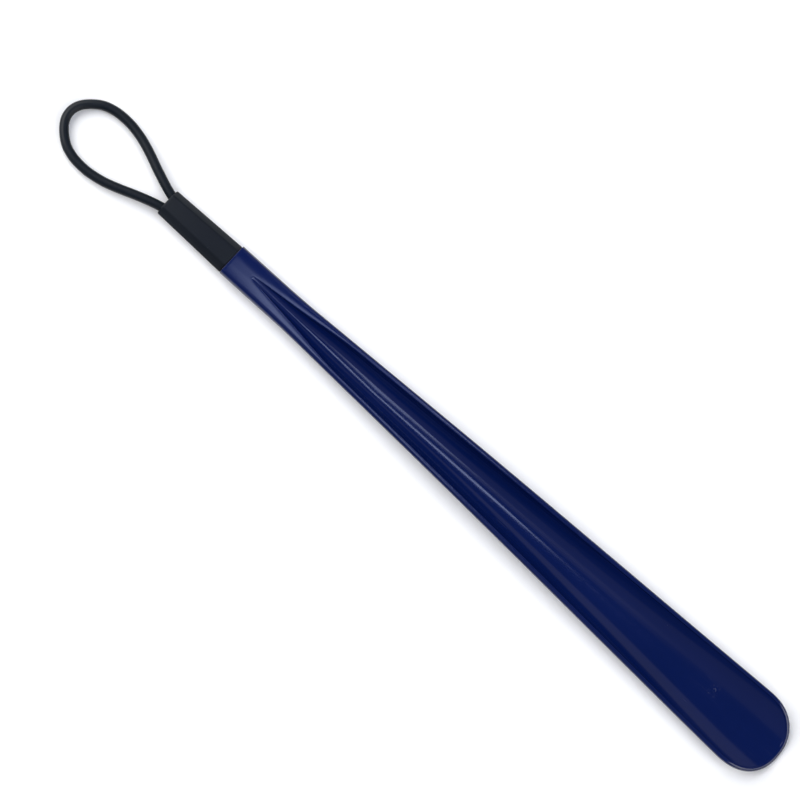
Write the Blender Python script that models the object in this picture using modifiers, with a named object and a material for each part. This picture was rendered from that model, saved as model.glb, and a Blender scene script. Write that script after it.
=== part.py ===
# A long-handled shoehorn: a moulded blade, a sleeve cap pushed on its end and a hanging loop of round cord.
# Metres, +Z up. The blade lies on its back with its hollow side up, and +X runs from the loop to the tip.
# The origin is on the surface the blade lies on, under the middle of the cap and blade together.
# Run with: blender --background --python part.py

from math import asin, atan2, ceil, cos, pi, radians, sin

import bmesh
import bpy
from mathutils import Vector

# Whole object
BODY_LENGTH = 0.420            # cap and blade, without the loop
BLADE_WIDTH = 0.0434           # between the two edges as they meet the tip
SEAM = 0.0003                  # gap where two pieces touch
FIT_CLEARANCE = 0.0003         # around the tang and the crimp inside the cap

# Blade: the solid bar beside the cap
BAR_WIDTH = 0.0183
BAR_HEIGHT = 0.0100
BAR_EDGE_WIDTH = 0.0028        # rounded long edges, measured across the top
BAR_EDGE_DEPTH = 0.0036        # and measured down the side
BACK_FLAT = 0.0030             # narrow flat along the whole back, which it lies on

# Blade: the groove that opens into the gutter and the spoon
GROOVE_SETBACK = 0.0143        # cap's mouth to the point of the groove
GROOVE_OPENING = 0.055         # length over which the groove widens to the walls
OPENING_SOFTNESS = 0.25        # share of that length over which the widening fades out
GROOVE_DIVE = 0.085            # length over which its floor goes down
GROOVE_NOSE = 0.0018           # width of the groove's blunt point
TAPER_SETBACK = 0.0442         # cap's mouth to where the bar starts to widen
WALL = 0.0020                  # floor of the gutter and the spoon
GUTTER_RIM = 0.0030            # rim's width across
SPOON_RIM = 0.0024
RIM_ROUNDING = 0.0009          # rim's inner edge
RIM_FLAT = 0.0002              # level strip along the rim; the rest of it rounds off outwards
RIM_DEPTH = 0.0018             # how far down the side that outer rounding goes
CREST_X = 0.0                  # where the rims are highest
GUTTER_HEIGHT = 0.0130         # rims there
SPOON_HEIGHT = 0.0090          # rims at the widest place
GUTTER_WRAP = radians(86)      # how far the U turns up on each side
SPOON_WRAP = radians(46)
TIP_LENGTH = 0.024             # widest place to the tip
TIP_FLAT = 0.0060              # short straight edge at the very tip
TIP_ROUNDNESS = 2.2            # 2 is an ellipse, more is squarer
OUTLINE_SOFTNESS = 0.010       # rounding where the outline changes direction

# Blade: the tang inside the cap
TANG_SHOULDER = 0.0027         # how far the tang is set in from the bar's sides
TANG_ROUNDNESS = 3.0
BARB_HEIGHT = 0.0004
BARB_LENGTH = 0.0040
BARB_SETBACK = 0.0080          # cap's mouth to the barb's steep side

# Cap
CAP_LENGTH = 0.0438
CAP_STEP = 0.0005              # the bar stands this proud of the cap
CAP_SIDE_WALL = 0.0014         # beside the crimp
CAP_END_WALL = 0.0030
CAP_CHAMFER = 0.0037           # slanted facets along the cap
CAP_END_ROUNDING = 0.0010
CAP_EDGE_ROUNDING = 0.0005

# Hanging loop and the crimp that holds its ends
CORD_DIAMETER = 0.0050
CORD_CLEARANCE = 0.0002        # around the cord in its holes and in the crimp
STRAND_GAP = 0.0005            # between the two ends in the crimp
CRIMP_LENGTH = 0.0060
CRIMP_WALL = 0.0005
CRIMP_SETBACK = 0.0010         # end wall to crimp
CORD_OVERHANG = 0.0008         # cord past the crimp
TANG_GAP = 0.0040              # cord's ends to the tang
PIVOT_SETBACK = 0.0080         # cap's end to the line the loop swings about
PIVOT_GAP = 0.0008             # opening in the cord there, so that it can turn

# The loop's route on one side: out from the cap's end, across from the middle, and height as a
# share of the cap's middle height. The cord comes down to lie on what the blade lies on.
LOOP_ROUTE = (
    (0.0000, 0.00380, 1.00),
    (0.0062, 0.00565, 0.97),
    (0.0144, 0.00865, 0.84),
    (0.0225, 0.01190, 0.64),
    (0.0307, 0.01470, 0.42),
    (0.0388, 0.01630, 0.23),
    (0.0450, 0.01660, 0.12),
    (0.0511, 0.01600, 0.05),
    (0.0573, 0.01395, 0.01),
    (0.0629, 0.00970, 0.00),
    (0.0665, 0.00500, 0.00),
)
LOOP_REACH = 0.0677            # cap's end to the middle of the cord at the far end
LOOP_LEAN = 0.0014             # far end of the loop off to the left, as it happens to lie
REST_GAP = 0.0001              # lowest part of the loop above the surface

# Places that follow from the sizes
CAP_END_X = -BODY_LENGTH / 2
TIP_X = BODY_LENGTH / 2
MOUTH_X = CAP_END_X + CAP_LENGTH
APEX_X = MOUTH_X + GROOVE_SETBACK
TAPER_X = MOUTH_X + TAPER_SETBACK
WIDEST_X = TIP_X - TIP_LENGTH
MID_Z = BAR_HEIGHT / 2
CORD_RADIUS = CORD_DIAMETER / 2
STRAND_Y = (CORD_DIAMETER + STRAND_GAP) / 2
CRIMP_INNER_HEIGHT = CORD_DIAMETER + 2 * CORD_CLEARANCE
CRIMP_HEIGHT = CRIMP_INNER_HEIGHT + 2 * CRIMP_WALL
CRIMP_WIDTH = 2 * STRAND_Y + CRIMP_HEIGHT
CRIMP_X = CAP_END_X + CAP_END_WALL + CRIMP_SETBACK
CORD_END_X = CRIMP_X + CRIMP_LENGTH + CORD_OVERHANG
TANG_END_X = CORD_END_X + TANG_GAP
TANG_WIDTH = BAR_WIDTH - 2 * TANG_SHOULDER
TANG_HEIGHT = BAR_HEIGHT - 2 * TANG_SHOULDER
CAP_HEIGHT = BAR_HEIGHT - 2 * CAP_STEP
CAP_MOUTH_WIDTH = BAR_WIDTH - 2 * CAP_STEP
CAP_END_WIDTH = CRIMP_WIDTH + 2 * (FIT_CLEARANCE + CAP_SIDE_WALL)
PIVOT_X = CAP_END_X - PIVOT_SETBACK

# How finely the round shapes are stepped
GROOVE_SPACING = 0.0045        # between the blade's sections while the floor goes down
BLADE_SPACING = 0.0090         # and between the others
TIP_STEPS = 10
BACK_STEPS = 9
EDGE_STEPS = 4
GROOVE_STEPS = 8
SOCKET_STEPS = 40
CAP_END_STEPS = 3
CAP_EDGE_STEPS = 2
CORD_STEP = 0.0040
CORD_SIDES = 3                 # bevel resolution
HOLE_SIDES = 4
ROUTE_STEPS = 20               # between two points of the route
ROUTE_SPACING = 0.0005
DOME_STEPS = 4                 # cord's rounded ends
CRIMP_STEPS = 12               # half circle
SMOOTH_ANGLE = radians(35)     # edges sharper than this stay sharp
JOIN_DISTANCE = 0.000001
CUT_MARGIN = 0.00001           # points of the cord nearer than this to a cut are left out
CUTTER_OVERRUN = 0.0040        # socket's cutter past the cap's mouth
HOLE_SPACING = 0.00125         # along the cutters for the cord's holes


def clear_scene():
    for old in list(bpy.data.objects):
        bpy.data.objects.remove(old, do_unlink=True)


def new_collection(name):
    collection = bpy.data.collections.new(name)
    bpy.context.scene.collection.children.link(collection)
    return collection


def new_material(name, colour, roughness, metallic=0.0):
    material = bpy.data.materials.new(name)
    material.use_nodes = True
    shader = material.node_tree.nodes["Principled BSDF"]
    shader.inputs["Base Color"].default_value = (*colour, 1.0)
    shader.inputs["Roughness"].default_value = roughness
    shader.inputs["Metallic"].default_value = metallic
    return material


def ramp(distance, rounding):
    # 0 before zero and the distance itself after it, with the corner rounded
    if distance <= -rounding:
        return 0.0
    if distance >= rounding:
        return distance
    return (distance + rounding) ** 2 / (4 * rounding)


def ease(share):
    share = min(max(share, 0.0), 1.0)
    return share * share * (3 - 2 * share)


def mix(start, end, share):
    return start + (end - start) * share


# Blade

def full_half_width(x):
    # The outline's half width before the tip rounds it off
    slope = (BLADE_WIDTH - BAR_WIDTH) / 2 / (WIDEST_X - TAPER_X)
    widening = ramp(x - TAPER_X, OUTLINE_SOFTNESS) - ramp(x - WIDEST_X, OUTLINE_SOFTNESS)
    return BAR_WIDTH / 2 + slope * widening


def half_width(x):
    full = full_half_width(x)
    if x <= WIDEST_X:
        return full
    share = min((x - WIDEST_X) / TIP_LENGTH, 1.0)
    roundness = (1 - share ** TIP_ROUNDNESS) ** (1 / TIP_ROUNDNESS)
    return mix(TIP_FLAT / 2, full, roundness)


def rim_height(x):
    rise = ease((x - TAPER_X) / (CREST_X - TAPER_X))
    fall = ease((x - CREST_X) / (WIDEST_X - CREST_X))
    return BAR_HEIGHT + (GUTTER_HEIGHT - BAR_HEIGHT) * rise - (GUTTER_HEIGHT - SPOON_HEIGHT) * fall


def blade_section(x):
    # Right half of the section from the back's flat round the rim to the middle of the hollow
    across = half_width(x)
    flare = ease((x - CREST_X) / (WIDEST_X - CREST_X))
    wrap = mix(GUTTER_WRAP, SPOON_WRAP, flare)
    height = rim_height(x)
    if x > WIDEST_X:
        # The tip is the spoon's own curve cut round, so its rim drops as it narrows
        full_wrap = wrap
        wrap = asin(sin(full_wrap) * across / full_half_width(x))
        height = mix(WALL, height, (1 - cos(wrap)) / (1 - cos(full_wrap)))
    rim = mix(GUTTER_RIM, SPOON_RIM, flare)
    opening = 1 - ramp(1 - (x - APEX_X) / GROOVE_OPENING, OPENING_SOFTNESS)
    opening = min(max(opening, 0.0), 1.0)
    dive = sin(pi / 2 * min(max((x - APEX_X) / GROOVE_DIVE, 0.0), 1.0))
    edge_width = mix(BAR_EDGE_WIDTH, rim - RIM_ROUNDING - RIM_FLAT, ease(opening))
    edge_depth = mix(BAR_EDGE_DEPTH, RIM_DEPTH, ease(opening))
    groove = mix(GROOVE_NOSE / 2, across - rim, opening)
    depth = (height - WALL) * dive
    inner_drop = RIM_ROUNDING * dive
    floor = height - depth

    points = []
    flat = BACK_FLAT / 2
    shoulder = height - edge_depth
    for step in range(BACK_STEPS + 1):
        turn = wrap * step / BACK_STEPS
        y = flat + (across - flat) * sin(turn) / sin(wrap)
        z = shoulder * (1 - cos(turn)) / (1 - cos(wrap))
        points.append((y, z))
    for step in range(1, EDGE_STEPS + 1):
        turn = pi / 2 * step / EDGE_STEPS
        points.append((across - edge_width + edge_width * cos(turn), shoulder + edge_depth * sin(turn)))
    for step in range(EDGE_STEPS):
        turn = pi / 2 * step / EDGE_STEPS
        y = groove + RIM_ROUNDING * (1 - sin(turn))
        z = height - inner_drop * (1 - cos(turn))
        points.append((y, z))
    for step in range(GROOVE_STEPS, -1, -1):
        turn = wrap * step / GROOVE_STEPS
        y = groove * sin(turn) / sin(wrap)
        z = floor + (depth - inner_drop) * (1 - cos(turn)) / (1 - cos(wrap))
        points.append((y, z))
    return points


def blade_ring(x):
    half = blade_section(x)
    ring = [(x, y, z) for y, z in half]
    return ring + [(x, -y, z) for y, z in reversed(half[:-1])]


def round_bar_ring(x, angles, half_wide, half_high):
    # A rounded bar about the cap's middle line, stepped at the given angles
    ring = []
    for angle in angles:
        share = (abs(cos(angle)) / half_wide) ** TANG_ROUNDNESS
        share += (abs(sin(angle)) / half_high) ** TANG_ROUNDNESS
        reach = share ** (-1 / TANG_ROUNDNESS)
        ring.append((x, reach * cos(angle), MID_Z + reach * sin(angle)))
    return ring


def even_angles(steps):
    return [2 * pi * step / steps for step in range(steps)]


def tang_rings(angles, clearance):
    # From the tang's inner end to the cap's mouth, with the barb's ramp and steep side
    barb_x = MOUTH_X - BARB_SETBACK
    wide = TANG_WIDTH / 2 + clearance
    high = TANG_HEIGHT / 2 + clearance
    raised = high + BARB_HEIGHT
    places = (
        (barb_x - BARB_LENGTH - clearance, high),
        (barb_x - clearance, raised),
        (barb_x + clearance, raised),
        (barb_x + 2 * clearance + BARB_HEIGHT, high),
    )
    return [round_bar_ring(x, angles, wide, z) for x, z in places]


def stations(start, end, spacing):
    count = ceil((end - start) / spacing)
    return [mix(start, end, step / count) for step in range(count)]


def loft(name, rings, collection, material=None):
    mesh = bmesh.new()
    rows = [[mesh.verts.new(point) for point in ring] for ring in rings]
    for row, following in zip(rows, rows[1:]):
        for here in range(len(row)):
            beside = (here + 1) % len(row)
            mesh.faces.new((row[here], row[beside], following[beside], following[here]))
    mesh.faces.new(rows[0])
    mesh.faces.new(reversed(rows[-1]))
    bmesh.ops.recalc_face_normals(mesh, faces=mesh.faces)
    data = bpy.data.meshes.new(name)
    mesh.to_mesh(data)
    mesh.free()
    piece = bpy.data.objects.new(name, data)
    collection.objects.link(piece)
    if material:
        data.materials.append(material)
    data.shade_smooth()
    data.set_sharp_from_angle(angle=SMOOTH_ANGLE)
    return piece


def build_blade(collection, material):
    start_x = MOUTH_X + SEAM
    places = [start_x]
    places += stations(APEX_X, APEX_X + GROOVE_DIVE, GROOVE_SPACING)
    places += stations(APEX_X + GROOVE_DIVE, WIDEST_X, BLADE_SPACING)
    places += [WIDEST_X + TIP_LENGTH * sin(pi / 2 * step / TIP_STEPS) for step in range(TIP_STEPS + 1)]
    rings = [blade_ring(x) for x in places]
    angles = [atan2(z - MID_Z, y) for _, y, z in rings[0]]
    wide = TANG_WIDTH / 2
    high = TANG_HEIGHT / 2
    tang = [round_bar_ring(TANG_END_X, angles, wide, high)]
    tang += tang_rings(angles, 0.0)
    tang.append(round_bar_ring(start_x, angles, wide, high))
    return loft("blade", tang + rings, collection, material)


# Cord

def smooth_line(points, spacing):
    # A Catmull-Rom curve through the points, read at even steps
    points = [Vector(point) for point in points]
    before = points[0] * 2 - points[1]
    after = points[-1] * 2 - points[-2]
    guides = [before, *points, after]
    fine = []
    for index in range(1, len(guides) - 2):
        p0, p1, p2, p3 = guides[index - 1:index + 3]
        for step in range(ROUTE_STEPS):
            t = step / ROUTE_STEPS
            even = 2 * p1 + (p2 - p0) * t
            bend = (2 * p0 - 5 * p1 + 4 * p2 - p3) * t * t
            twist = (3 * p1 - p0 - 3 * p2 + p3) * t * t * t
            fine.append((even + bend + twist) / 2)
    fine.append(points[-1])
    return resample(fine, spacing)


def line_lengths(line):
    lengths = [0.0]
    for here, beside in zip(line, line[1:]):
        lengths.append(lengths[-1] + (beside - here).length)
    return lengths


def point_at(line, lengths, wanted):
    for index in range(1, len(line)):
        if wanted <= lengths[index] or index == len(line) - 1:
            share = (wanted - lengths[index - 1]) / (lengths[index] - lengths[index - 1])
            return line[index - 1].lerp(line[index], share)


def resample(line, spacing):
    lengths = line_lengths(line)
    count = ceil(lengths[-1] / spacing)
    return [point_at(line, lengths, lengths[-1] * step / count) for step in range(count + 1)]


def part_of(line, start, end):
    lengths = line_lengths(line)
    inside = [
        point for point, length in zip(line, lengths)
        if start + CUT_MARGIN < length < end - CUT_MARGIN
    ]
    first = point_at(line, lengths, start)
    last = point_at(line, lengths, end)
    return [first, *inside, last]


def lean(x):
    # How far the loop lies off to one side here; nothing inside the cap
    return LOOP_LEAN * max(CAP_END_X - x, 0.0) / LOOP_REACH


def cord_route():
    # The whole cord, from its left end in the crimp round the loop to its right end
    side = [
        (CORD_END_X, STRAND_Y, MID_Z),
        (CRIMP_X + CRIMP_LENGTH / 2, STRAND_Y, MID_Z),
        (CRIMP_X, STRAND_Y, MID_Z),
    ]
    low = CORD_RADIUS + REST_GAP
    for out, across, height in LOOP_ROUTE:
        side.append((CAP_END_X - out, across, mix(low, MID_Z, height)))
    far_end = (CAP_END_X - LOOP_REACH, 0.0, low)
    other = [(x, -y, z) for x, y, z in reversed(side)]
    whole = [(x, y + lean(x), z) for x, y, z in [*side, far_end, *other]]
    return smooth_line(whole, ROUTE_SPACING)


def pivot_length(route):
    # Length along the cord to where it crosses the line that the loop swings about
    for point, length in zip(route, line_lengths(route)):
        if point.x <= PIVOT_X:
            return length


def domed(line, dome_start, dome_end):
    # Points along the line with the cord's radius at each, rounded off at the chosen ends
    lengths = line_lengths(line)
    total = lengths[-1]
    turns = [pi / 2 * step / DOME_STEPS for step in range(1, DOME_STEPS)]
    marks = []
    first = 0.0
    last = total
    if dome_start:
        marks += [(CORD_RADIUS * (1 - cos(turn)), sin(turn)) for turn in turns]
        first = CORD_RADIUS
    if dome_end:
        last = total - CORD_RADIUS
    count = ceil((last - first) / CORD_STEP)
    marks += [(mix(first, last, step / count), 1.0) for step in range(count + 1)]
    if dome_end:
        marks += [(total - CORD_RADIUS * (1 - cos(turn)), sin(turn)) for turn in reversed(turns)]
    return [(point_at(line, lengths, place), radius) for place, radius in marks]


def new_tube(name, marks, radius, sides, collection, material=None):
    curve = bpy.data.curves.new(name, "CURVE")
    curve.dimensions = "3D"
    curve.bevel_depth = radius
    curve.bevel_resolution = sides
    curve.use_fill_caps = True
    spline = curve.splines.new("POLY")
    spline.points.add(len(marks) - 1)
    for point, (place, share) in zip(spline.points, marks):
        point.co = (*place, 1.0)
        point.radius = share
    tube = bpy.data.objects.new(name, curve)
    collection.objects.link(tube)
    if material:
        curve.materials.append(material)
    return tube


def as_mesh(tube, collection):
    # The curve as a closed mesh, which a Boolean can use
    graph = bpy.context.evaluated_depsgraph_get()
    data = bpy.data.meshes.new_from_object(tube.evaluated_get(graph))
    mesh = bmesh.new()
    mesh.from_mesh(data)
    bmesh.ops.remove_doubles(mesh, verts=mesh.verts, dist=JOIN_DISTANCE)
    bmesh.ops.recalc_face_normals(mesh, faces=mesh.faces)
    mesh.to_mesh(data)
    mesh.free()
    solid = bpy.data.objects.new(tube.name + "_solid", data)
    solid.matrix_world = tube.matrix_world
    collection.objects.link(solid)
    bpy.data.objects.remove(tube, do_unlink=True)
    return solid


def build_cord(collection, material):
    route = cord_route()
    total = line_lengths(route)[-1]
    pivot = pivot_length(route)
    tail_end = pivot - PIVOT_GAP / 2
    loop_start = pivot + PIVOT_GAP / 2
    left = domed(part_of(route, 0.0, tail_end), False, True)
    loop = domed(part_of(route, loop_start, total - loop_start), True, True)
    right = domed(part_of(route, total - tail_end, total), True, False)
    new_tube("loop_tail_left", left, CORD_RADIUS, CORD_SIDES, collection, material)
    new_tube("loop_tail_right", right, CORD_RADIUS, CORD_SIDES, collection, material)
    new_tube("hanging_loop", loop, CORD_RADIUS, CORD_SIDES, collection, material)


# Crimp

def stadium(half_wide, radius, steps):
    # A flat oval: two half circles joined by straight lines
    centre = half_wide - radius
    points = []
    for side, first in ((1, -pi / 2), (-1, pi / 2)):
        for step in range(steps + 1):
            turn = first + pi * step / steps
            points.append((side * centre + radius * cos(turn), radius * sin(turn)))
    return points


def build_crimp(collection, material):
    curve = bpy.data.curves.new("cord_crimp", "CURVE")
    curve.dimensions = "2D"
    curve.fill_mode = "BOTH"
    curve.extrude = CRIMP_LENGTH / 2
    outer = stadium(CRIMP_WIDTH / 2, CRIMP_HEIGHT / 2, CRIMP_STEPS)
    inner = stadium(CRIMP_WIDTH / 2 - CRIMP_WALL, CRIMP_INNER_HEIGHT / 2, CRIMP_STEPS)
    for outline in (outer, inner):
        spline = curve.splines.new("POLY")
        spline.points.add(len(outline) - 1)
        spline.use_cyclic_u = True
        for point, (y, z) in zip(spline.points, outline):
            point.co = (y, z, 0.0, 1.0)
    curve.materials.append(material)
    crimp = bpy.data.objects.new("cord_crimp", curve)
    crimp.location = (CRIMP_X + CRIMP_LENGTH / 2, 0.0, MID_Z)
    crimp.rotation_euler = (pi / 2, 0.0, pi / 2)
    collection.objects.link(crimp)


# Cap

def cap_body(collection, material):
    mesh = bmesh.new()
    bmesh.ops.create_cube(mesh, size=1.0)
    for vert in mesh.verts:
        width = CAP_END_WIDTH if vert.co.x < 0 else CAP_MOUTH_WIDTH
        vert.co.x = CAP_END_X if vert.co.x < 0 else MOUTH_X
        vert.co.y *= width
        vert.co.z = MID_Z + vert.co.z * CAP_HEIGHT
    long_edges = [
        edge for edge in mesh.edges
        if abs(edge.verts[0].co.x - edge.verts[1].co.x) > CAP_LENGTH / 2
    ]
    bmesh.ops.bevel(
        mesh, geom=long_edges, offset=CAP_CHAMFER, offset_type="OFFSET",
        segments=1, affect="EDGES",
    )
    end_edges = [
        edge for edge in mesh.edges
        if max(vert.co.x for vert in edge.verts) < CAP_END_X + CAP_END_ROUNDING
    ]
    bmesh.ops.bevel(
        mesh, geom=end_edges, offset=CAP_END_ROUNDING, offset_type="OFFSET",
        segments=CAP_END_STEPS, profile=0.5, affect="EDGES", clamp_overlap=True,
    )
    data = bpy.data.meshes.new("end_cap")
    mesh.to_mesh(data)
    mesh.free()
    data.materials.append(material)
    cap = bpy.data.objects.new("end_cap", data)
    collection.objects.link(cap)
    return cap


def socket_cutter(cutters):
    # The room for the crimp and then the tang, open past the cap's mouth
    angles = even_angles(SOCKET_STEPS)
    wide = TANG_WIDTH / 2 + FIT_CLEARANCE
    high = TANG_HEIGHT / 2 + FIT_CLEARANCE
    room_wide = CRIMP_WIDTH / 2 + FIT_CLEARANCE
    room_high = CRIMP_HEIGHT / 2 + FIT_CLEARANCE
    rings = [round_bar_ring(CAP_END_X + CAP_END_WALL, angles, room_wide, room_high)]
    rings.append(round_bar_ring(TANG_END_X - FIT_CLEARANCE - TANG_GAP / 2, angles, room_wide, room_high))
    rings.append(round_bar_ring(TANG_END_X - FIT_CLEARANCE, angles, wide, high))
    rings += tang_rings(angles, FIT_CLEARANCE)
    rings.append(round_bar_ring(MOUTH_X + CUTTER_OVERRUN, angles, wide, high))
    return loft("socket_cutter", rings, cutters)


def hole_cutters(cutters):
    route = cord_route()
    total = line_lengths(route)[-1]
    reach = pivot_length(route)
    radius = CORD_RADIUS + CORD_CLEARANCE
    left = [(point, 1.0) for point in resample(part_of(route, 0.0, reach), HOLE_SPACING)]
    right = [(point, 1.0) for point in resample(part_of(route, total - reach, total), HOLE_SPACING)]
    for name, marks in (("left_hole", left), ("right_hole", right)):
        yield as_mesh(new_tube(name, marks, radius, HOLE_SIDES, cutters), cutters)


def cut(piece, cutter):
    modifier = piece.modifiers.new(cutter.name, "BOOLEAN")
    modifier.operation = "DIFFERENCE"
    modifier.solver = "EXACT"
    modifier.object = cutter
    cutter.hide_render = True
    cutter.display_type = "WIRE"


def build_cap(collection, cutters, material):
    cap = cap_body(collection, material)
    rounding = cap.modifiers.new("edge_rounding", "BEVEL")
    rounding.width = CAP_EDGE_ROUNDING
    rounding.segments = CAP_EDGE_STEPS
    rounding.limit_method = "ANGLE"
    rounding.angle_limit = SMOOTH_ANGLE
    cut(cap, socket_cutter(cutters))
    for cutter in hole_cutters(cutters):
        cut(cap, cutter)
    return cap


def add_pivot(collection):
    # The line the loop swings about: along Y, in the middle of the cord's bend outside the cap
    pivot = bpy.data.objects.new("loop_pivot", None)
    pivot.empty_display_size = 0.01
    pivot.location = (PIVOT_X, 0.0, MID_Z)
    collection.objects.link(pivot)
    bpy.context.view_layer.update()
    loop = bpy.data.objects["hanging_loop"]
    loop.parent = pivot
    loop.matrix_parent_inverse = pivot.matrix_world.inverted()


def main():
    clear_scene()
    shoehorn = new_collection("long_shoehorn")
    cutters = new_collection("cutters")
    navy = new_material("navy_gloss_plastic", (0.012, 0.018, 0.115), 0.22)
    black = new_material("black_satin_plastic", (0.016, 0.018, 0.021), 0.42)
    cord = new_material("black_cord", (0.014, 0.016, 0.019), 0.5)
    steel = new_material("crimped_steel", (0.55, 0.56, 0.58), 0.35, 1.0)
    build_blade(shoehorn, navy)
    build_cap(shoehorn, cutters, black)
    build_crimp(shoehorn, steel)
    build_cord(shoehorn, cord)
    add_pivot(shoehorn)


main()
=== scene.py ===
# A long navy shoehorn with a black sleeve cap and a cord loop, lying on its back with the hollow side up.
from math import asin, atan2, ceil, cos, pi, radians, sin

import bmesh
import bpy
from mathutils import Euler, Matrix, Quaternion, Vector


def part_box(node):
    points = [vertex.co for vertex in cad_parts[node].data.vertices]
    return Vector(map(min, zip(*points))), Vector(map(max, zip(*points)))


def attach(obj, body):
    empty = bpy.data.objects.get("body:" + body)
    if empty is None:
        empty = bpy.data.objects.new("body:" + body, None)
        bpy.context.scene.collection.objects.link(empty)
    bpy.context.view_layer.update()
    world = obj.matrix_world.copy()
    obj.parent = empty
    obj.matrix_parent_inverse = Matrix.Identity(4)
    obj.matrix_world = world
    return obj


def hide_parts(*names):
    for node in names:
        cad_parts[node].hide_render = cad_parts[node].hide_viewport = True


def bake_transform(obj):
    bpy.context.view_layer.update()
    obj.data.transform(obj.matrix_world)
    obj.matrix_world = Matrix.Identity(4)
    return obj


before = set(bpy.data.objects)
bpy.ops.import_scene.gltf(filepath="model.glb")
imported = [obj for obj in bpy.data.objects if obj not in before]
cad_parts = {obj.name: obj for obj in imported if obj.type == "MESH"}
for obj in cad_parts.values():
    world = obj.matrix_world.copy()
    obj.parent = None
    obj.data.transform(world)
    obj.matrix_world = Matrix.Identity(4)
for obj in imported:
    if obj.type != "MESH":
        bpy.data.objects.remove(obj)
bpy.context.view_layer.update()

bladeLow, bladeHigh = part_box("blade")
capLow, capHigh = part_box("end_cap")
crimpLow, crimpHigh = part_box("cord_crimp")
capEndX = capLow.x
mouthX = capHigh.x
midZ = (capLow.z + capHigh.z) / 2
tipX = bladeHigh.x
print("frame loaded, body", round(tipX - capEndX, 4), "m long")


def linkPiece(name, mesh):
    data = bpy.data.meshes.new(name)
    mesh.to_mesh(data)
    mesh.free()
    piece = bpy.data.objects.new(name, data)
    bpy.context.scene.collection.objects.link(piece)
    return piece


def pickOnly(piece):
    bpy.ops.object.select_all(action="DESELECT")
    piece.select_set(True)
    bpy.context.view_layer.objects.active = piece


def settle(piece):
    # the object ends up at the origin, unturned and unscaled, with its place in its mesh
    pickOnly(piece)
    bpy.ops.object.transform_apply(location=True, rotation=True, scale=True)


def applyModifier(piece, kind, **values):
    pickOnly(piece)
    modifier = piece.modifiers.new(kind.lower(), kind)
    for name, value in values.items():
        setattr(modifier, name, value)
    bpy.ops.object.modifier_apply(modifier=modifier.name)


def selectIn(piece, kind, wanted):
    # in edit mode: only the verts or edges that pass the test
    modes = {"verts": "VERT", "edges": "EDGE"}
    bpy.ops.mesh.select_mode(type=modes[kind])
    bpy.ops.mesh.select_all(action="DESELECT")
    mesh = bmesh.from_edit_mesh(piece.data)
    for item in getattr(mesh, kind):
        item.select_set(bool(wanted(item)))
    mesh.select_flush_mode()
    bmesh.update_edit_mesh(piece.data)


def mix(start, end, share):
    return start + (end - start) * share


def ease(share):
    share = min(max(share, 0.0), 1.0)
    return share * share * (3 - 2 * share)


def ramp(distance, rounding):
    # 0 before zero and the distance itself after it, with the corner rounded
    if distance <= -rounding:
        return 0.0
    if distance >= rounding:
        return distance
    return (distance + rounding) ** 2 / (4 * rounding)


cameraSetup = {
    "aimX": -0.0547,
    "aimY": 0.0049,
    "elevation": 81.0,
    "turn": 42.18,          # how far the handle line leans down to the right
    "distance": 1.6,
    "frameWidth": 0.4066,
    "sensor": 36.0,
}


def addCamera():
    setup = cameraSetup
    data = bpy.data.cameras.new("camera")
    data.sensor_width = setup["sensor"]
    data.lens = setup["sensor"] * setup["distance"] / setup["frameWidth"]
    camera = bpy.data.objects.new("camera", data)
    bpy.context.scene.collection.objects.link(camera)
    rise = radians(setup["elevation"])
    back = Vector((0.0, -cos(rise), sin(rise)))
    camera.location = Vector((setup["aimX"], setup["aimY"], midZ)) + back * setup["distance"]
    level = (-back).to_track_quat("-Z", "Y")
    camera.rotation_mode = "QUATERNION"
    camera.rotation_quaternion = level @ Quaternion((0, 0, 1), radians(setup["turn"]))
    bpy.context.scene.camera = camera


addCamera()
print("camera placed")


cordPiece = {
    "diameter": 0.0050,
    "length": 0.178,
    "strandGap": 0.0005,
    "overhang": 0.0008,
    "reach": 0.0677,
    "lean": 0.0014,         # far end off to the left, as it happens to lie
    "restGap": 0.0001,
    "curvePieces": 24,
    "ringStep": 0.0007,
    "sides": 32,
    "bendLength": 0.0160,
    # out from the cap's end, across from the middle, height as a share of the cap's middle
    "route": (
        (0.0000, 0.00380, 1.00),
        (0.0062, 0.00565, 0.97),
        (0.0144, 0.00865, 0.84),
        (0.0225, 0.01190, 0.64),
        (0.0307, 0.01470, 0.42),
        (0.0388, 0.01630, 0.23),
        (0.0450, 0.01660, 0.12),
        (0.0511, 0.01600, 0.05),
        (0.0573, 0.01395, 0.01),
        (0.0629, 0.00970, 0.00),
        (0.0665, 0.00500, 0.00),
    ),
}


def curveThrough(points, finePieces):
    # Catmull-Rom through the points
    points = [Vector(point) for point in points]
    guides = [points[0] * 2 - points[1], *points, points[-1] * 2 - points[-2]]
    line = []
    for index in range(1, len(guides) - 2):
        p0, p1, p2, p3 = guides[index - 1:index + 3]
        for step in range(finePieces):
            t = step / finePieces
            even = 2 * p1 + (p2 - p0) * t
            bend = (2 * p0 - 5 * p1 + 4 * p2 - p3) * t * t
            twist = (3 * p1 - p0 - 3 * p2 + p3) * t * t * t
            line.append((even + bend + twist) / 2)
    line.append(points[-1])
    return line


def evenSteps(line, spacing):
    lengths = [0.0]
    for here, beside in zip(line, line[1:]):
        lengths.append(lengths[-1] + (beside - here).length)
    count = ceil(lengths[-1] / spacing)
    even = []
    index = 1
    for step in range(count + 1):
        wanted = lengths[-1] * step / count
        while index < len(line) - 1 and lengths[index] < wanted:
            index += 1
        share = (wanted - lengths[index - 1]) / (lengths[index] - lengths[index - 1])
        even.append(line[index - 1].lerp(line[index], share))
    return even


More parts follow.
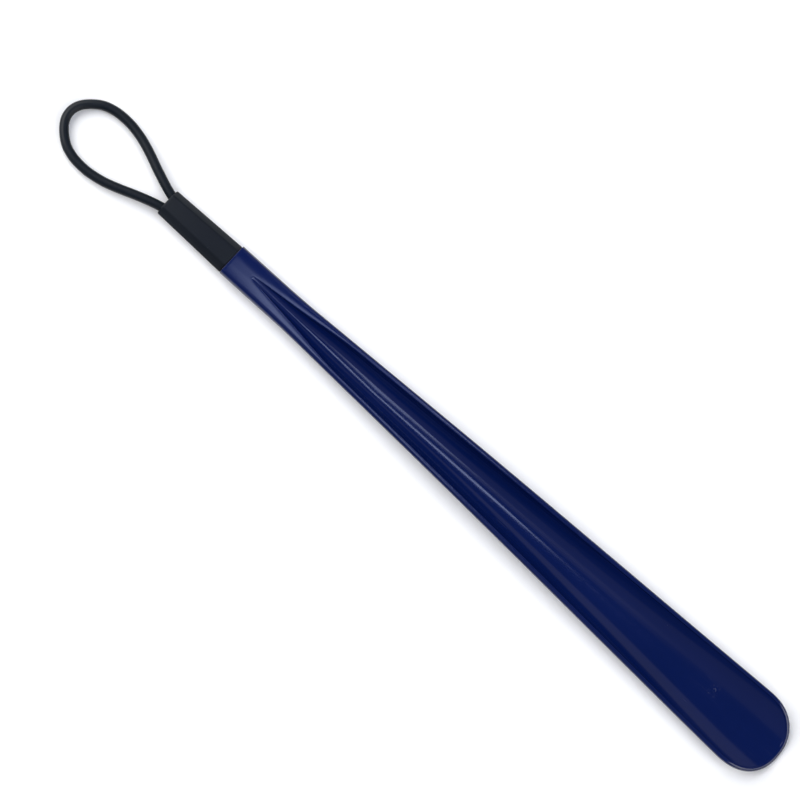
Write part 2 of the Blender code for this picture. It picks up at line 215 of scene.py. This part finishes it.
def cordLine():
    spec = cordPiece
    strandY = (spec["diameter"] + spec["strandGap"]) / 2
    side = [
        (crimpHigh.x + spec["overhang"], strandY, midZ),
        ((crimpLow.x + crimpHigh.x) / 2, strandY, midZ),
        (crimpLow.x, strandY, midZ),
    ]
    low = spec["diameter"] / 2 + spec["restGap"]
    for out, across, high in spec["route"]:
        side.append((capEndX - out, across, mix(low, midZ, high)))
    farEnd = (capEndX - spec["reach"], 0.0, low)
    other = [(x, -y, z) for x, y, z in reversed(side)]
    lean = spec["lean"] / spec["reach"]
    whole = [(x, y + lean * max(capEndX - x, 0.0), z) for x, y, z in [*side, farEnd, *other]]
    return evenSteps(curveThrough(whole, spec["curvePieces"]), spec["ringStep"])


def buildCord(line):
    radius = cordPiece["diameter"] / 2
    sides = cordPiece["sides"]
    mesh = bmesh.new()
    wrap = mesh.loops.layers.uv.new("alongCord")
    rings = []
    for index, centre in enumerate(line):
        ahead = line[min(index + 1, len(line) - 1)] - line[max(index - 1, 0)]
        ahead.normalize()
        level = Vector((0, 0, 1)).cross(ahead).normalized()
        rise = ahead.cross(level)
        turns = [2 * pi * side / sides for side in range(sides)]
        rings.append([mesh.verts.new(centre + radius * (level * cos(t) + rise * sin(t))) for t in turns])
    travelled = 0.0
    for index in range(len(rings) - 1):
        step = (line[index + 1] - line[index]).length
        for side in range(sides):
            beside = (side + 1) % sides
            face = mesh.faces.new((rings[index][side], rings[index][beside],
                                   rings[index + 1][beside], rings[index + 1][side]))
            around = (side / sides, (side + 1) / sides, (side + 1) / sides, side / sides)
            along = (travelled, travelled, travelled + step, travelled + step)
            for loop, u, v in zip(face.loops, around, along):
                loop[wrap].uv = (u, v)
        travelled += step
    mesh.faces.new(rings[0])
    mesh.faces.new(reversed(rings[-1]))
    bmesh.ops.recalc_face_normals(mesh, faces=mesh.faces)
    cord = linkPiece("loop_cord", mesh)
    cord.data.shade_smooth()
    return cord


cordPath = cordLine()
loopCord = buildCord(cordPath)
measured = sum((b - a).length for a, b in zip(cordPath, cordPath[1:]))
print("cord made,", round(measured, 4), "m long")


bladePiece = {
    "width": 0.0434,
    "barWidth": 0.0183,
    "barEdgeWidth": 0.0028,
    "barEdgeDepth": 0.0036,
    "barEndRounding": 0.0002,
    "barEndSteps": 5,
    "grooveSetback": 0.0143,
    "grooveOpening": 0.055,
    "openingSoftness": 0.25,
    "grooveDive": 0.085,
    "grooveNose": 0.0018,
    "taperSetback": 0.0442,
    "wall": 0.0020,
    "gutterRim": 0.0030,
    "spoonRim": 0.0024,
    "rimRounding": 0.0009,
    "rimFlat": 0.0001,
    "rimDepth": 0.0018,
    "gutterHeight": 0.0130,
    "crestX": 0.0,          # where the gutter is highest
    "spoonHeight": 0.0090,
    "gutterWrap": radians(86),
    "spoonWrap": radians(46),
    "tipLength": 0.024,
    "tipRoundness": 2.2,
    "softness": 0.010,
    "seam": 0.0003,
    "tangShoulder": 0.0027,
    "tangRoundness": 3.0,
    "tangEndRounding": 0.0006,
    "backSteps": 26,
    "edgeSteps": 8,
    "hollowSteps": 26,
    "tipSteps": 36,
    "barSpacing": 0.0012,
    "noseLength": 0.010,
    "noseSpacing": 0.0005,
    "grooveSpacing": 0.0015,
    "gutterSpacing": 0.0025,
    "mirrorMerge": 0.00002,
    "pointMerge": 0.000005,
    "tinyEdge": 0.000001,
    "smoothAngle": radians(40),
}
barHeight = 2 * midZ
apexX = mouthX + bladePiece["grooveSetback"]
taperX = mouthX + bladePiece["taperSetback"]
widestX = tipX - bladePiece["tipLength"]


def outlineHalf(x):
    spec = bladePiece
    slope = (spec["width"] - spec["barWidth"]) / 2 / (widestX - taperX)
    widening = ramp(x - taperX, spec["softness"]) - ramp(x - widestX, spec["softness"])
    return spec["barWidth"] / 2 + slope * widening


def sectionSizes(x):
    # what the half section is drawn from at this place along the blade
    spec = bladePiece
    crestX = spec["crestX"]
    rise = ease((x - taperX) / (crestX - taperX))
    fall = ease((x - crestX) / (widestX - crestX))
    height = barHeight + (spec["gutterHeight"] - barHeight) * rise
    height -= (spec["gutterHeight"] - spec["spoonHeight"]) * fall
    opening = 1 - ramp(1 - (x - apexX) / spec["grooveOpening"], spec["openingSoftness"])
    opening = min(max(opening, 0.0), 1.0)
    dive = sin(pi / 2 * min(max((x - apexX) / spec["grooveDive"], 0.0), 1.0))
    across = outlineHalf(x)
    rim = mix(spec["gutterRim"], spec["spoonRim"], fall)
    outer = rim - spec["rimRounding"] - spec["rimFlat"]
    return {
        "across": across,
        "height": height,
        "wrap": mix(spec["gutterWrap"], spec["spoonWrap"], fall),
        "rim": rim,
        "edgeWidth": mix(spec["barEdgeWidth"], outer, ease(opening)),
        "edgeDepth": mix(spec["barEdgeDepth"], spec["rimDepth"], ease(opening)),
        "hollow": mix(spec["grooveNose"] / 2, across - rim, opening),
        "depth": (height - spec["wall"]) * dive,
        "drop": spec["rimRounding"] * dive,
    }


def backZ(sizes, y):
    # height of the underside this far from the middle
    shoulder = sizes["height"] - sizes["edgeDepth"]
    turn = asin(min(y / sizes["across"], 1.0) * sin(sizes["wrap"]))
    return shoulder * (1 - cos(turn)) / (1 - cos(sizes["wrap"]))


def hollowZ(sizes, y):
    # height of the hollow's surface this far from the middle
    floor = sizes["height"] - sizes["depth"]
    turn = asin(min(y / sizes["hollow"], 1.0) * sin(sizes["wrap"]))
    return floor + (sizes["depth"] - sizes["drop"]) * (1 - cos(turn)) / (1 - cos(sizes["wrap"]))


def halfSection(x):
    # from the middle of the back, round the rim, to the middle of the hollow
    spec = bladePiece
    sizes = sectionSizes(x)
    shoulder = sizes["height"] - sizes["edgeDepth"]
    points = []
    for step in range(spec["backSteps"] + 1):
        y = sizes["across"] * sin(sizes["wrap"] * step / spec["backSteps"]) / sin(sizes["wrap"])
        points.append((x, y, backZ(sizes, y)))
    for step in range(1, spec["edgeSteps"] + 1):
        turn = pi / 2 * step / spec["edgeSteps"]
        y = sizes["across"] - sizes["edgeWidth"] * (1 - cos(turn))
        points.append((x, y, shoulder + sizes["edgeDepth"] * sin(turn)))
    for step in range(spec["edgeSteps"]):
        turn = pi / 2 * step / spec["edgeSteps"]
        y = sizes["hollow"] + spec["rimRounding"] * (1 - sin(turn))
        points.append((x, y, sizes["height"] - sizes["drop"] * (1 - cos(turn))))
    for step in range(spec["hollowSteps"], -1, -1):
        y = sizes["hollow"] * sin(sizes["wrap"] * step / spec["hollowSteps"]) / sin(sizes["wrap"])
        points.append((x, y, hollowZ(sizes, y)))
    return points


def tipSection(turn):
    # the same half section turned about the middle of the spoon, cut where the outline ends
    spec = bladePiece
    sizes = sectionSizes(widestX)
    power = 2 / spec["tipRoundness"]
    outX = spec["tipLength"] * sin(turn) ** power
    outY = sizes["across"] * cos(turn) ** power
    reach = (outX * outX + outY * outY) ** 0.5
    alongX = outX / reach
    alongY = outY / reach
    inner = reach - sizes["rim"]
    points = []

    def addPoint(distance, z):
        points.append((widestX + alongX * distance, alongY * distance, z))

    for step in range(spec["backSteps"] + 1):
        distance = reach * sin(sizes["wrap"] * step / spec["backSteps"]) / sin(sizes["wrap"])
        addPoint(distance, backZ(sizes, alongY * distance))
    outerZ = backZ(sizes, outY)
    innerZ = hollowZ(sizes, alongY * inner)
    crestZ = innerZ + sizes["drop"] * outerZ / backZ(sizes, sizes["across"])
    for step in range(1, spec["edgeSteps"] + 1):
        bend = pi / 2 * step / spec["edgeSteps"]
        addPoint(reach - sizes["edgeWidth"] * (1 - cos(bend)), mix(outerZ, crestZ, sin(bend)))
    for step in range(spec["edgeSteps"]):
        bend = pi / 2 * step / spec["edgeSteps"]
        addPoint(inner + spec["rimRounding"] * (1 - sin(bend)), mix(innerZ, crestZ, cos(bend)))
    for step in range(spec["hollowSteps"], -1, -1):
        distance = inner * sin(sizes["wrap"] * step / spec["hollowSteps"]) / sin(sizes["wrap"])
        addPoint(distance, hollowZ(sizes, alongY * distance))
    return points


def tangSection(x, angles, inset=0.0):
    # the rounded bar that goes into the cap
    spec = bladePiece
    halfWide = spec["barWidth"] / 2 - spec["tangShoulder"] - inset
    halfHigh = barHeight / 2 - spec["tangShoulder"] - inset
    points = []
    for angle in angles:
        share = (abs(cos(angle)) / halfWide) ** spec["tangRoundness"]
        share += (abs(sin(angle)) / halfHigh) ** spec["tangRoundness"]
        reach = share ** (-1 / spec["tangRoundness"])
        points.append((x, max(reach * cos(angle), 0.0), midZ + reach * sin(angle)))
    return points


def shrunk(section, x, inset):
    # the bar's end, drawn in towards the middle to round its corner
    wide = 1 - inset / (bladePiece["barWidth"] / 2)
    high = 1 - inset / (barHeight / 2)
    return [(x, y * wide, midZ + (z - midZ) * high) for _, y, z in section]


def evenPlaces(start, end, spacing):
    count = ceil((end - start) / spacing)
    return [mix(start, end, step / count) for step in range(count)]


def bladeSections():
    spec = bladePiece
    startX = mouthX + spec["seam"]
    bar = halfSection(startX)
    angles = [atan2(z - midZ, y) for _, y, z in bar]
    inset = spec["tangEndRounding"]
    sections = [tangSection(bladeLow.x, angles, inset), tangSection(bladeLow.x + inset, angles)]
    sections += [tangSection(startX, angles)]
    rounding = spec["barEndRounding"]
    for step in range(spec["barEndSteps"]):
        turn = pi / 2 * step / spec["barEndSteps"]
        sections.append(shrunk(bar, startX + rounding * (1 - cos(turn)), rounding * (1 - sin(turn))))
    noseEnd = apexX + spec["noseLength"]
    diveEnd = apexX + spec["grooveDive"]
    places = evenPlaces(startX + rounding, apexX, spec["barSpacing"])
    places += evenPlaces(apexX, noseEnd, spec["noseSpacing"])
    places += evenPlaces(noseEnd, diveEnd, spec["grooveSpacing"])
    places += evenPlaces(diveEnd, widestX, spec["gutterSpacing"]) + [widestX]
    sections += [halfSection(x) for x in places]
    sections += [tipSection(pi / 2 * step / spec["tipSteps"]) for step in range(1, spec["tipSteps"] + 1)]
    return sections


def buildBlade():
    spec = bladePiece
    mesh = bmesh.new()
    rows = [[mesh.verts.new(point) for point in section] for section in bladeSections()]
    for row, following in zip(rows, rows[1:]):
        for here, beside in zip(range(len(row)), range(1, len(row))):
            mesh.faces.new((row[here], row[beside], following[beside], following[here]))
    mesh.faces.new(rows[0])
    blade = linkPiece("moulded_blade", mesh)
    applyModifier(blade, "MIRROR", use_axis=(False, True, False), use_mirror_merge=True,
                  merge_threshold=spec["mirrorMerge"])
    mesh = bmesh.new()
    mesh.from_mesh(blade.data)
    bmesh.ops.remove_doubles(mesh, verts=mesh.verts, dist=spec["pointMerge"])
    bmesh.ops.dissolve_degenerate(mesh, edges=mesh.edges, dist=spec["tinyEdge"])
    bmesh.ops.recalc_face_normals(mesh, faces=mesh.faces)
    mesh.to_mesh(blade.data)
    mesh.free()
    pickOnly(blade)
    bpy.ops.object.shade_smooth_by_angle(angle=spec["smoothAngle"])
    return blade


blade = buildBlade()
print("blade made,", len(blade.data.polygons), "faces")


capPiece = {
    "endWidth": 0.0153,
    "chamfer": 0.0037,
    "facetSoftening": 0.0007,
    "endRounding": 0.0010,
    "mouthRounding": 0.00035,
    "endTolerance": 0.0001,
    "endWall": 0.0030,
    "clearance": 0.0003,
    "holeClearance": 0.0002,
    "holeLip": 0.0004,
    "holeDepth": 0.012,
    "holeSides": 48,
    "socketCorner": 0.0026,
    "socketOverrun": 0.01,
    "smoothAngle": radians(28),
}


def runsAlong(edge, least):
    return abs(edge.verts[0].co.x - edge.verts[1].co.x) > least


def bevelIn(piece, wanted, offset, segments):
    selectIn(piece, "edges", wanted)
    bpy.ops.mesh.bevel(offset=offset, segments=segments, affect="EDGES")


def addCutter(name):
    cutter = bpy.context.active_object
    cutter.name = name
    settle(cutter)
    return cutter


def socketCutter():
    # room for the crimp and the tang, open at the cap's mouth
    spec = capPiece
    wide = bladePiece["barWidth"] - 2 * bladePiece["tangShoulder"] + 2 * spec["clearance"]
    high = barHeight - 2 * bladePiece["tangShoulder"] + 2 * spec["clearance"]
    start = capEndX + spec["endWall"]
    end = mouthX + spec["socketOverrun"]
    bpy.ops.mesh.primitive_cube_add(size=1, location=((start + end) / 2, 0, midZ),
                                    scale=(end - start, wide, high))
    cutter = addCutter("socket_cutter")
    bpy.ops.object.mode_set(mode="EDIT")
    bevelIn(cutter, lambda edge: runsAlong(edge, (end - start) / 2), spec["socketCorner"], 6)
    bpy.ops.object.mode_set(mode="OBJECT")
    return cutter


def holeCutters():
    # each hole follows the strand as it leaves, with a small lip at the face
    spec = capPiece
    radius = cordPiece["diameter"] / 2 + spec["holeClearance"]
    outX = cordPiece["route"][1][0]
    outY = cordPiece["route"][1][1] - cordPiece["route"][0][1]
    lean = atan2(outY, outX)
    sides = spec["holeSides"]
    for side in (1, -1):
        faceY = side * cordPiece["route"][0][1]
        turn = Euler((0, -pi / 2, -side * lean))
        bpy.ops.mesh.primitive_cylinder_add(vertices=sides, radius=radius, depth=spec["holeDepth"],
                                            location=(capEndX, faceY, midZ), rotation=turn)
        yield addCutter("hole_cutter")
        bpy.ops.mesh.primitive_cone_add(vertices=sides, radius1=radius, radius2=radius + 2 * spec["holeLip"],
                                        depth=2 * spec["holeLip"], location=(capEndX, faceY, midZ),
                                        rotation=turn)
        yield addCutter("lip_cutter")


def buildCap():
    spec = capPiece
    size = capHigh - capLow
    middle = (capLow + capHigh) / 2
    bpy.ops.object.select_all(action="DESELECT")
    bpy.ops.mesh.primitive_cube_add(size=1, location=(middle.x, 0, midZ), scale=(size.x, size.y, size.z))
    cap = bpy.context.active_object
    cap.name = "sleeve_cap"
    settle(cap)
    bpy.ops.object.mode_set(mode="EDIT")
    selectIn(cap, "verts", lambda vert: vert.co.x < middle.x)
    bpy.ops.transform.resize(value=(1, spec["endWidth"] / size.y, 1), center_override=(capEndX, 0, midZ))
    endX = capEndX + spec["endTolerance"]
    openX = mouthX - spec["endTolerance"]
    bevelIn(cap, lambda edge: runsAlong(edge, size.x / 2), spec["chamfer"], 1)
    bevelIn(cap, lambda edge: runsAlong(edge, size.x / 2), spec["facetSoftening"], 5)
    bevelIn(cap, lambda edge: all(vert.co.x < endX for vert in edge.verts), spec["endRounding"], 6)
    bevelIn(cap, lambda edge: all(vert.co.x > openX for vert in edge.verts), spec["mouthRounding"], 4)
    bpy.ops.object.mode_set(mode="OBJECT")
    for cutter in [socketCutter(), *holeCutters()]:
        applyModifier(cap, "BOOLEAN", object=cutter, operation="DIFFERENCE", solver="EXACT")
        bpy.data.objects.remove(cutter, do_unlink=True)
    pickOnly(cap)
    bpy.ops.object.shade_smooth_by_angle(angle=spec["smoothAngle"])
    return cap


cap = buildCap()
print("cap made,", len(cap.data.polygons), "faces")


def addSocket(tree, name, direction, kind="NodeSocketFloat", value=None):
    socket = tree.interface.new_socket(name=name, in_out=direction, socket_type=kind)
    if value is not None:
        socket.default_value = value


def feed(tree, socket, value):
    # another node's output is linked, anything else is set as the value
    if isinstance(value, bpy.types.NodeSocket):
        tree.links.new(value, socket)
    else:
        socket.default_value = value


def addNode(tree, kind, settings=None, **inputs):
    # inputs go by name, with _ for a space, or by number as n0, n1
    node = tree.nodes.new(kind)
    for name, value in (settings or {}).items():
        setattr(node, name, value)
    for name, value in inputs.items():
        numbered = name[0] == "n" and name[1:].isdigit()
        feed(tree, node.inputs[int(name[1:]) if numbered else name.replace("_", " ")], value)
    return node


def combine(tree, operation, first, second):
    return addNode(tree, "ShaderNodeMath", {"operation": operation}, n0=first, n1=second).outputs[0]


def noise(tree, where, scale, detail):
    return addNode(tree, "ShaderNodeTexNoise", Vector=where, Scale=scale, Detail=detail).outputs["Fac"]


def stretch(tree, where, scales):
    return addNode(tree, "ShaderNodeVectorMath", {"operation": "MULTIPLY"}, n0=where, n1=scales).outputs[0]


def between(tree, value, limits):
    # 0 at the first limit and 1 at the second
    return addNode(tree, "ShaderNodeMapRange", Value=value, From_Min=limits[0], From_Max=limits[1]).outputs[0]


def groupEnds(tree):
    return tree.nodes.new("NodeGroupInput").outputs, tree.nodes.new("NodeGroupOutput").inputs


def mouldedGrain():
    # the fine, uneven skin that a mould leaves: a height and a small change in gloss
    tree = bpy.data.node_groups.new("moulded_grain", "ShaderNodeTree")
    addSocket(tree, "Place", "INPUT", "NodeSocketVector")
    addSocket(tree, "Fine Scale", "INPUT")
    addSocket(tree, "Ripple Scale", "INPUT")
    addSocket(tree, "Ripple", "INPUT")
    addSocket(tree, "Height", "OUTPUT")
    addSocket(tree, "Gloss Change", "OUTPUT")
    given, result = groupEnds(tree)
    fine = noise(tree, given["Place"], given["Fine Scale"], 3.0)
    ripple = noise(tree, given["Place"], given["Ripple Scale"], 1.0)
    raised = combine(tree, "MULTIPLY", ripple, given["Ripple"])
    tree.links.new(combine(tree, "ADD", fine, raised), result["Height"])
    tree.links.new(combine(tree, "SUBTRACT", ripple, 0.5), result["Gloss Change"])
    return tree


marksFinish = {
    "stretch": (60.0, 2200.0, 2200.0),
    "lineLimits": (0.62, 0.72),
    "patchScale": 55.0,
    "patchLimits": (0.48, 0.66),
    "dustScale": 260.0,
    "speckLimits": (0.055, 0.03),
    "cleanShare": 0.93,
}


def handlingMarks():
    # hairline rubs that run mostly along the piece, and a few dust specks
    finish = marksFinish
    tree = bpy.data.node_groups.new("handling_marks", "ShaderNodeTree")
    addSocket(tree, "Place", "INPUT", "NodeSocketVector")
    addSocket(tree, "Stretch", "INPUT", "NodeSocketVector", finish["stretch"])
    addSocket(tree, "Amount", "INPUT")
    addSocket(tree, "Dust Scale", "INPUT", value=finish["dustScale"])
    addSocket(tree, "Rubs", "OUTPUT")
    addSocket(tree, "Dust", "OUTPUT")
    given, result = groupEnds(tree)
    lines = noise(tree, stretch(tree, given["Place"], given["Stretch"]), 1.0, 2.0)
    patches = noise(tree, given["Place"], finish["patchScale"], 2.0)
    thin = between(tree, lines, finish["lineLimits"])
    where = between(tree, patches, finish["patchLimits"])
    rubs = combine(tree, "MULTIPLY", combine(tree, "MULTIPLY", thin, where), given["Amount"])
    cells = addNode(tree, "ShaderNodeTexVoronoi", Vector=given["Place"], Scale=given["Dust Scale"])
    specks = between(tree, cells.outputs["Distance"], finish["speckLimits"])
    chance = addNode(tree, "ShaderNodeSeparateColor", Color=cells.outputs["Color"]).outputs[0]
    rare = combine(tree, "GREATER_THAN", chance, finish["cleanShare"])
    tree.links.new(rubs, result["Rubs"])
    tree.links.new(combine(tree, "MULTIPLY", specks, rare), result["Dust"])
    return tree


grainGroup = mouldedGrain()
marksGroup = handlingMarks()


def newMaterial(name, roughness, **shaderValues):
    material = bpy.data.materials.new(name)
    material.use_nodes = True
    shader = material.node_tree.nodes["Principled BSDF"]
    shader.inputs["Roughness"].default_value = roughness
    for socket, value in shaderValues.items():
        shader.inputs[socket.replace("_", " ")].default_value = value
    return material, material.node_tree, shader


def place(tree):
    return addNode(tree, "ShaderNodeTexCoord").outputs["Object"]


def useGroup(tree, group, **inputs):
    node = tree.nodes.new("ShaderNodeGroup")
    node.node_tree = group
    for name, value in inputs.items():
        feed(tree, node.inputs[name.replace("_", " ")], value)
    return node


def blendColours(tree, share, first, second):
    return addNode(tree, "ShaderNodeMix", {"data_type": "RGBA"}, n0=share, n6=first, n7=second).outputs[2]


def addUp(tree, *terms):
    # terms are (socket, weight) pairs or plain numbers
    total = None
    for term in terms:
        part = combine(tree, "MULTIPLY", *term) if isinstance(term, tuple) else term
        total = part if total is None else combine(tree, "ADD", total, part)
    return total


def bump(tree, shader, height, distance):
    node = addNode(tree, "ShaderNodeBump", Height=height, Distance=distance, Strength=1.0)
    tree.links.new(node.outputs["Normal"], shader.inputs["Normal"])


navyFinish = {
    "roughness": 0.13,
    "ior": 1.5,
    "deep": (0.0010, 0.0064, 0.054, 1),
    "light": (0.0022, 0.0084, 0.068, 1),
    "dusty": (0.06, 0.07, 0.12, 1),
    "cloudScale": 18.0,
    "grain": {"Fine_Scale": 700.0, "Ripple_Scale": 16.0, "Ripple": 2.0},
    "grainDepth": 0.000004,
    "marks": {"Amount": 0.6},
    "paleSpotPlace": (0.163, 0.003, 0.002),
    "paleSpotEdge": (0.0042, 0.0006),
    "paleSpotScale": 900.0,
    "paleSpotLimits": (0.52, 0.7),
}


def navyPlastic():
    finish = navyFinish
    material, tree, shader = newMaterial("navy_gloss_plastic", finish["roughness"], IOR=finish["ior"])
    here = place(tree)
    grain = useGroup(tree, grainGroup, Place=here, **finish["grain"])
    marks = useGroup(tree, marksGroup, Place=here, **finish["marks"])
    clouds = noise(tree, here, finish["cloudScale"], 2.0)
    tone = blendColours(tree, clouds, finish["deep"], finish["light"])
    # a small paler, rougher spot inside the spoon near the tip, mixed into both the colour and the roughness
    away = addNode(tree, "ShaderNodeVectorMath", {"operation": "DISTANCE"}, n0=here, n1=finish["paleSpotPlace"])
    near = between(tree, away.outputs["Value"], finish["paleSpotEdge"])
    rough = between(tree, noise(tree, here, finish["paleSpotScale"], 3.0), finish["paleSpotLimits"])
    paleSpot = combine(tree, "MULTIPLY", near, rough)
    worn = addUp(tree, (marks.outputs["Rubs"], 0.12), (marks.outputs["Dust"], 0.5), (paleSpot, 0.35))
    tree.links.new(blendColours(tree, worn, tone, finish["dusty"]), shader.inputs["Base Color"])
    gloss = addUp(tree, finish["roughness"], (grain.outputs["Gloss Change"], 0.05),
                  (marks.outputs["Rubs"], 0.25), (paleSpot, 0.3))
    tree.links.new(gloss, shader.inputs["Roughness"])
    height = addUp(tree, grain.outputs["Height"], (marks.outputs["Rubs"], -0.6))
    bump(tree, shader, height, finish["grainDepth"])
    return material


blackFinish = {
    "roughness": 0.5,
    "ior": 1.3,
    "deep": (0.0012, 0.0034, 0.0080, 1),
    "light": (0.0028, 0.0056, 0.0110, 1),
    "dusty": (0.05, 0.055, 0.06, 1),
    "cloudScale": 90.0,
    "grain": {"Fine_Scale": 1900.0, "Ripple_Scale": 60.0, "Ripple": 0.6},
    "grainDepth": 0.00004,
    "marks": {"Amount": 0.4, "Dust_Scale": 330.0},
}


def blackPlastic():
    finish = blackFinish
    material, tree, shader = newMaterial("black_satin_plastic", finish["roughness"], IOR=finish["ior"])
    here = place(tree)
    grain = useGroup(tree, grainGroup, Place=here, **finish["grain"])
    marks = useGroup(tree, marksGroup, Place=here, **finish["marks"])
    clouds = noise(tree, here, finish["cloudScale"], 3.0)
    tone = blendColours(tree, clouds, finish["deep"], finish["light"])
    worn = addUp(tree, (marks.outputs["Rubs"], 0.2), (marks.outputs["Dust"], 0.5))
    tree.links.new(blendColours(tree, worn, tone, finish["dusty"]), shader.inputs["Base Color"])
    gloss = addUp(tree, finish["roughness"], (grain.outputs["Gloss Change"], 0.15),
                  (marks.outputs["Rubs"], -0.1))
    tree.links.new(gloss, shader.inputs["Roughness"])
    bump(tree, shader, grain.outputs["Height"], finish["grainDepth"])
    return material


cordFinish = {
    "roughness": 0.38,
    "ior": 1.31,
    "deep": (0.0018, 0.0042, 0.0085, 1),
    "light": (0.0045, 0.0078, 0.0130, 1),
    "lineStretch": (46.0, 30.0, 1.0),
    "grain": {"Fine_Scale": 1600.0, "Ripple_Scale": 120.0, "Ripple": 0.8},
    "grainDepth": 0.00003,
}


def blackCord():
    # drawn plastic cord: faint lines along it and a soft uneven sheen
    finish = cordFinish
    material, tree, shader = newMaterial("black_cord", finish["roughness"], IOR=finish["ior"])
    alongCord = addNode(tree, "ShaderNodeUVMap", {"uv_map": "alongCord"}).outputs["UV"]
    lines = noise(tree, stretch(tree, alongCord, finish["lineStretch"]), 1.0, 2.0)
    grain = useGroup(tree, grainGroup, Place=place(tree), **finish["grain"])
    tone = blendColours(tree, lines, finish["deep"], finish["light"])
    tree.links.new(tone, shader.inputs["Base Color"])
    gloss = addUp(tree, finish["roughness"], (grain.outputs["Gloss Change"], 0.15), (lines, 0.06))
    tree.links.new(gloss, shader.inputs["Roughness"])
    bump(tree, shader, addUp(tree, grain.outputs["Height"], (lines, 1.2)), finish["grainDepth"])
    return material


metalFinish = {
    "roughness": 0.36,
    "bare": (0.52, 0.53, 0.55, 1),
    "rubbed": (0.7, 0.7, 0.71, 1),
    "marks": {"Amount": 0.8},
}


def pressedMetal():
    finish = metalFinish
    material, tree, shader = newMaterial("pressed_metal", finish["roughness"], Metallic=1.0)
    marks = useGroup(tree, marksGroup, Place=place(tree), **finish["marks"])
    tone = blendColours(tree, marks.outputs["Rubs"], finish["bare"], finish["rubbed"])
    tree.links.new(tone, shader.inputs["Base Color"])
    gloss = addUp(tree, finish["roughness"], (marks.outputs["Rubs"], 0.2))
    tree.links.new(gloss, shader.inputs["Roughness"])
    return material


def dress(piece, material):
    piece.data.materials.clear()
    piece.data.materials.append(material)


dress(blade, navyPlastic())
dress(cap, blackPlastic())
dress(loopCord, blackCord())
dress(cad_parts["cord_crimp"], pressedMetal())
print("materials made")


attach(blade, "handle")
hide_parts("blade")
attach(cap, "handle")
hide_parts("end_cap")
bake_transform(loopCord)
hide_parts("hanging_loop", "loop_tail_left", "loop_tail_right")
print("pieces joined to the frame")


stageSetup = {
    "floorSize": 8.0,
    "floorDrop": 0.0002,
    "floorColour": (0.94, 0.94, 0.94, 1),
    "floorRoughness": 0.9,
    "floorSheen": 0.1,
    "skyColour": (0.93, 0.95, 1.0, 1),
    "skyStrength": 0.04,
}


def addFloor():
    setup = stageSetup
    bpy.ops.object.select_all(action="DESELECT")
    bpy.ops.mesh.primitive_plane_add(size=setup["floorSize"], location=(0, 0, -setup["floorDrop"]))
    floor = bpy.context.active_object
    floor.name = "floor"
    material, _, _ = newMaterial("pale_floor", setup["floorRoughness"], Base_Color=setup["floorColour"],
                                 Specular_IOR_Level=setup["floorSheen"])
    dress(floor, material)


# where each soft light hangs, what it faces, the way its long side runs, its size, and how bright its face is
down = Vector((0, 0, 1))
coolWhite = (0.82, 0.96, 1.42)
softLights = {
    "near_strip": {"at": (-0.046, 0.330, 0.9), "away": down, "long": (0.472, -0.882, 0),
                   "size": (0.54, 0.065), "bright": 4.8, "colour": coolWhite},
    "far_strip": {"at": (-0.100, -0.128, 0.9), "away": down, "long": (0.301, -0.954, 0),
                  "size": (0.58, 0.085), "bright": 2.9, "colour": coolWhite},
    "front_box": {"at": (0.0, -1.2, 1.6), "long": (1, 0, 0), "size": (1.9, 1.5), "bright": 0.12},
    "front_strip": {"at": (-0.10, -0.60, 1.9), "away": down, "long": (1, 0, 0),
                    "size": (0.9, 0.7), "bright": 0.17},
    "back_box": {"at": (0.05, 2.0, 1.15), "long": (1, 0, 0), "size": (2.2, 1.2), "bright": 0.26},
    "handle_box": {"at": (-2.1, 0.0, 1.7), "long": (0, 1, 0), "size": (3.4, 2.2), "bright": 4.6},
    "spoon_box": {"at": (2.6, 0.0, 2.3), "long": (0, 1, 0), "size": (3.6, 2.4), "bright": 3.0},
}


def addSoftLight(name, spec):
    # the face looks at the middle of the floor unless the dictionary gives another way
    spot = Vector(spec["at"])
    back = spec.get("away", spot.normalized())
    long = Vector(spec["long"])
    long = (long - back * long.dot(back)).normalized()
    across = back.cross(long)
    data = bpy.data.lights.new(name, "AREA")
    data.shape = "RECTANGLE"
    data.size, data.size_y = spec["size"]
    data.energy = spec["bright"] * pi * data.size * data.size_y
    data.color = spec.get("colour", (1, 1, 1))
    lamp = bpy.data.objects.new(name, data)
    bpy.context.scene.collection.objects.link(lamp)
    lamp.location = spot
    lamp.rotation_mode = "QUATERNION"
    lamp.rotation_quaternion = Matrix((long, across, back)).transposed().to_quaternion()


def addSky():
    world = bpy.data.worlds.new("studio")
    bpy.context.scene.world = world
    world.use_nodes = True
    sky = world.node_tree.nodes["Background"]
    sky.inputs["Color"].default_value = stageSetup["skyColour"]
    sky.inputs["Strength"].default_value = stageSetup["skyStrength"]


addFloor()
addSky()
for lightName, lightSpec in softLights.items():
    addSoftLight(lightName, lightSpec)
bpy.context.scene.view_settings.view_transform = "Standard"
print("floor and lights placed")
